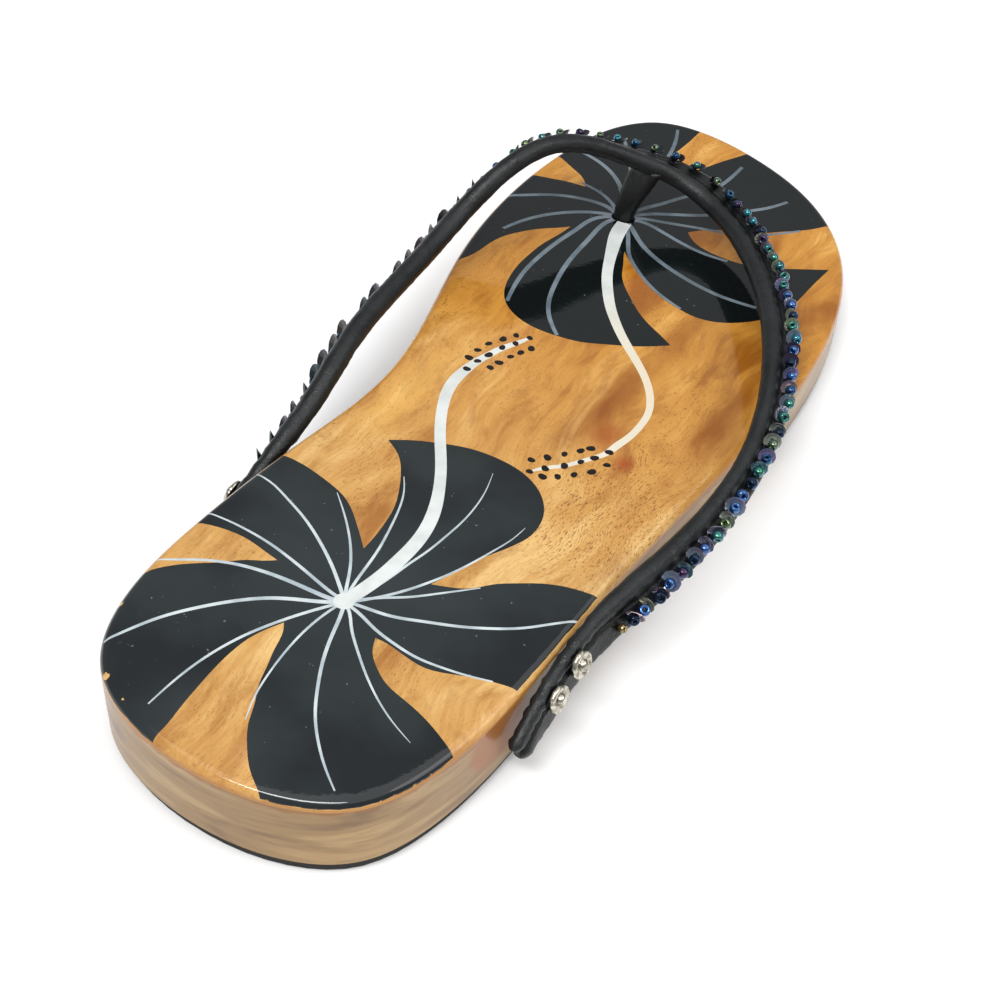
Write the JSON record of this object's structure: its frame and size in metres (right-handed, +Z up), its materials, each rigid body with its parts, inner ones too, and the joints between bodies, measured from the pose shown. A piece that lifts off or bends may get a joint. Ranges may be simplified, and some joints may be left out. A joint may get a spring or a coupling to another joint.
{
  "type": "wooden thong sandal",
  "caption": "Flat wooden flip-flop for the right foot: arched slab sole on a thin rubber sheet, with a narrow beaded V strap held by a toe post and dome studs.",
  "frame": {"origin": "on the floor under the middle of the sandal's bounding box", "axes": "+Y from the heel to the toe, +Z up, +X to the wearer's right (the outer, small-toe side of this right shoe)"},
  "size_m": [0.1028, 0.2396, 0.0414],
  "materials": {
    "varnished_wood": "gloss varnish",
    "black_rubber": "matt",
    "black_leather": "satin",
    "nickel": "polished",
    "iridescent_sequins": "iridescent gloss"
  },
  "bodies": {
    "root": {"sole": "varnished_wood", "outsole": "black_rubber", "strap": "black_leather", "bead_trim": "iridescent_sequins", "stud_medial_front": "nickel", "stud_medial_rear": "nickel", "stud_lateral_front": "nickel", "stud_lateral_rear": "nickel"}
  },
  "joints": []
}
